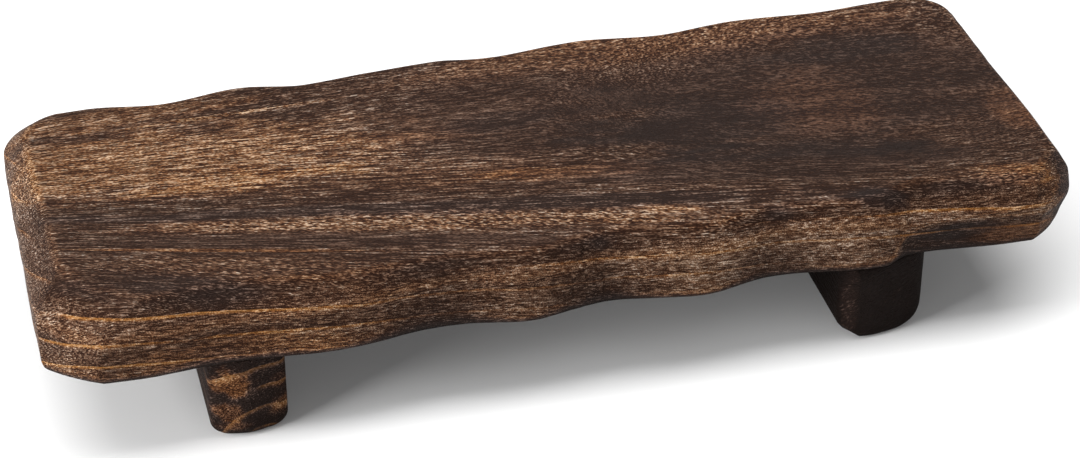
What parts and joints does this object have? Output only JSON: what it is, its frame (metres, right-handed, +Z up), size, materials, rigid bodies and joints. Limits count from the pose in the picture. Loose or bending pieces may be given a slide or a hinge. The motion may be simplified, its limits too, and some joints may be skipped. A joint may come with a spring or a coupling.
{
  "type": "wooden riser",
  "caption": "Low display riser: a thick dark-stained wooden slab with carved wavy edges and bevelled rims, standing on crossbar feet.",
  "frame": {"origin": "on the floor, under the middle of the slab's overall length and width", "axes": "+X along the slab's length towards the right end, +Y to the back, +Z up"},
  "size_m": [0.4, 0.154, 0.066],
  "materials": {
    "slab_wood": "scorched and stained, brushed along the grain, satin oil",
    "foot_wood": "scorched and stained darker than the slab, satin oil",
    "screw_zinc": "zinc plated"
  },
  "bodies": {
    "root": {"board": "slab_wood", "left_foot": "foot_wood", "right_foot": "foot_wood", "left_front_screw": "screw_zinc", "left_back_screw": "screw_zinc", "right_front_screw": "screw_zinc", "right_back_screw": "screw_zinc"}
  },
  "joints": []
}
